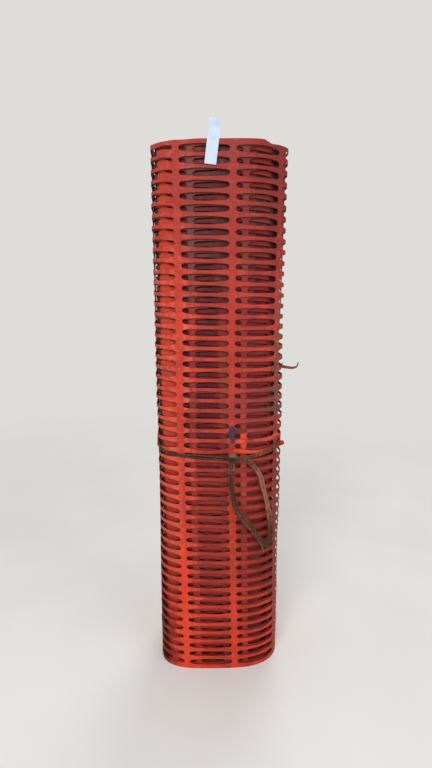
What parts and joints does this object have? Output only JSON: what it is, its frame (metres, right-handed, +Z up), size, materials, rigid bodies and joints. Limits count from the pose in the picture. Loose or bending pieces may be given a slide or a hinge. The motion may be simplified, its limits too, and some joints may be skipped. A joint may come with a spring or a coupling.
{
  "type": "roll of snow fence",
  "caption": "Roll of orange plastic snow fence standing on its end, tied round with twine, with a blank paper tag at the top.",
  "frame": {"origin": "centre of the bore at the bottom end, on the floor", "axes": "+Z up along the bore, -Y out of the flattened front that carries the knot and the tag"},
  "size_m": [0.3267, 0.2785, 1.2573],
  "materials": {
    "fence_plastic": "matte",
    "twine": "matte",
    "paper": "matte"
  },
  "bodies": {
    "root": {"fence_roll": "fence_plastic", "torn_strand": "fence_plastic", "twine_tie": "twine", "twine_bow_outer": "twine", "twine_bow_inner": "twine", "twine_loose_end": "twine", "paper_tag": "paper"}
  },
  "joints": []
}
